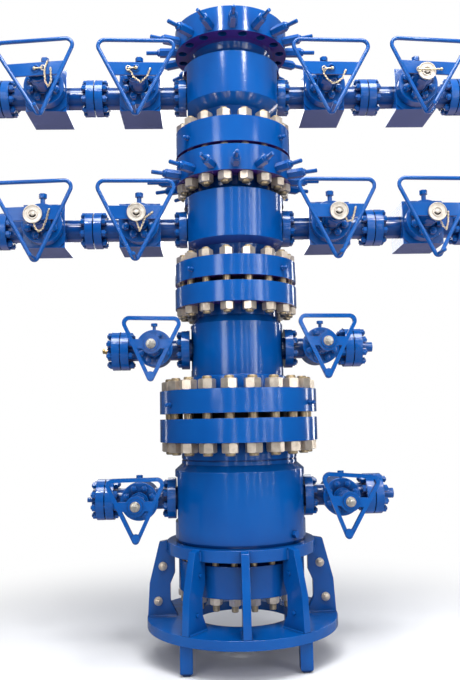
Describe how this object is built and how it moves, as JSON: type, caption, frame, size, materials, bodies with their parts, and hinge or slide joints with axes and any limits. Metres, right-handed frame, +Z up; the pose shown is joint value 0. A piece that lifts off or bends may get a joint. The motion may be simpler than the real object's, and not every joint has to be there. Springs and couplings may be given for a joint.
{
  "type": "gas wellhead valve stack",
  "caption": "Wellhead stack: casing head on a ribbed round base, bolted spools and tubing head, side outlet lines with gate valves and three-cornered handwheels.",
  "frame": {"origin": "on the floor under the well axis, at the middle of the legs", "axes": "+Z up along the well axis, +X along the outlet lines, -Y the side that the handwheels face"},
  "size_m": [2.84, 1.01, 3.4475],
  "materials": {
    "blue_enamel": "gloss enamel over cast and forged steel",
    "zinc_plating": "yellow-passivated zinc plating",
    "gasket_steel": "dull steel"
  },
  "bodies": {
    "stack": {"base_collar": "blue_enamel", "base_legs": "blue_enamel", "base_ribs": "blue_enamel", "base_ring": "blue_enamel", "casing_connector": "blue_enamel", "casing_head": "blue_enamel", "casing_spool": "blue_enamel", "connector_studs": "zinc_plating", "end_flanges": "blue_enamel", "end_plugs": "blue_enamel", "lower_joint_nuts": "zinc_plating", "lower_row_bonnets": "blue_enamel", "lower_row_inner_valves": "blue_enamel", "middle_joint_nuts": "zinc_plating", "middle_lock_screws": "blue_enamel", "middle_row_bonnets": "blue_enamel", "middle_row_inner_valves": "blue_enamel", "middle_spool": "blue_enamel", "port_plugs": "blue_enamel", "rib_bolts": "zinc_plating", "ring_gaskets": "gasket_steel", "top_lock_screws": "blue_enamel", "top_row_bonnets": "blue_enamel", "top_row_inner_valves": "blue_enamel", "top_row_outer_valves": "blue_enamel", "tubing_head": "blue_enamel", "upper_joint_nuts": "zinc_plating", "upper_row_bonnets": "blue_enamel", "upper_row_inner_valves": "blue_enamel", "upper_row_outer_valves": "blue_enamel", "valve_grease_fittings": "blue_enamel"},
    "top_left_inner_wheel": {"top_left_inner_handwheel": "blue_enamel"},
    "top_right_inner_wheel": {"top_right_inner_handwheel": "blue_enamel"},
    "top_left_outer_wheel": {"top_left_outer_handwheel": "blue_enamel"},
    "top_right_outer_wheel": {"top_right_outer_handwheel": "blue_enamel"},
    "upper_left_inner_wheel": {"upper_left_inner_handwheel": "blue_enamel"},
    "upper_right_inner_wheel": {"upper_right_inner_handwheel": "blue_enamel"},
    "upper_left_outer_wheel": {"upper_left_outer_handwheel": "blue_enamel"},
    "upper_right_outer_wheel": {"upper_right_outer_handwheel": "blue_enamel"},
    "middle_left_inner_wheel": {"middle_left_inner_handwheel": "blue_enamel"},
    "middle_right_inner_wheel": {"middle_right_inner_handwheel": "blue_enamel"},
    "lower_left_inner_wheel": {"lower_left_inner_handwheel": "blue_enamel"},
    "lower_right_inner_wheel": {"lower_right_inner_handwheel": "blue_enamel"}
  },
  "joints": [
    {"name": "top_left_inner_spindle", "type": "hinge", "parent": "stack", "child": "top_left_inner_wheel", "pos_m": [-0.5165, -0.363, 3.068], "axis": [0, -1, 0], "continuous": true},
    {"name": "top_right_inner_spindle", "type": "hinge", "parent": "stack", "child": "top_right_inner_wheel", "pos_m": [0.5165, -0.363, 3.068], "axis": [0, -1, 0], "continuous": true},
    {"name": "top_left_outer_spindle", "type": "hinge", "parent": "stack", "child": "top_left_outer_wheel", "pos_m": [-1.0375, -0.363, 3.068], "axis": [0, -1, 0], "continuous": true},
    {"name": "top_right_outer_spindle", "type": "hinge", "parent": "stack", "child": "top_right_outer_wheel", "pos_m": [1.0375, -0.363, 3.068], "axis": [0, -1, 0], "continuous": true},
    {"name": "upper_left_inner_spindle", "type": "hinge", "parent": "stack", "child": "upper_left_inner_wheel", "pos_m": [-0.5225, -0.363, 2.295], "axis": [0, -1, 0], "continuous": true},
    {"name": "upper_right_inner_spindle", "type": "hinge", "parent": "stack", "child": "upper_right_inner_wheel", "pos_m": [0.5225, -0.363, 2.295], "axis": [0, -1, 0], "continuous": true},
    {"name": "upper_left_outer_spindle", "type": "hinge", "parent": "stack", "child": "upper_left_outer_wheel", "pos_m": [-1.0435, -0.363, 2.295], "axis": [0, -1, 0], "continuous": true},
    {"name": "upper_right_outer_spindle", "type": "hinge", "parent": "stack", "child": "upper_right_outer_wheel", "pos_m": [1.0435, -0.363, 2.295], "axis": [0, -1, 0], "continuous": true},
    {"name": "middle_left_inner_spindle", "type": "hinge", "parent": "stack", "child": "middle_left_inner_wheel", "pos_m": [-0.4485, -0.363, 1.614], "axis": [0, -1, 0], "continuous": true},
    {"name": "middle_right_inner_spindle", "type": "hinge", "parent": "stack", "child": "middle_right_inner_wheel", "pos_m": [0.4485, -0.363, 1.614], "axis": [0, -1, 0], "continuous": true},
    {"name": "lower_left_inner_spindle", "type": "hinge", "parent": "stack", "child": "lower_left_inner_wheel", "pos_m": [-0.5325, -0.363, 0.81], "axis": [0, -1, 0], "continuous": true},
    {"name": "lower_right_inner_spindle", "type": "hinge", "parent": "stack", "child": "lower_right_inner_wheel", "pos_m": [0.5325, -0.363, 0.81], "axis": [0, -1, 0], "continuous": true}
  ]
}
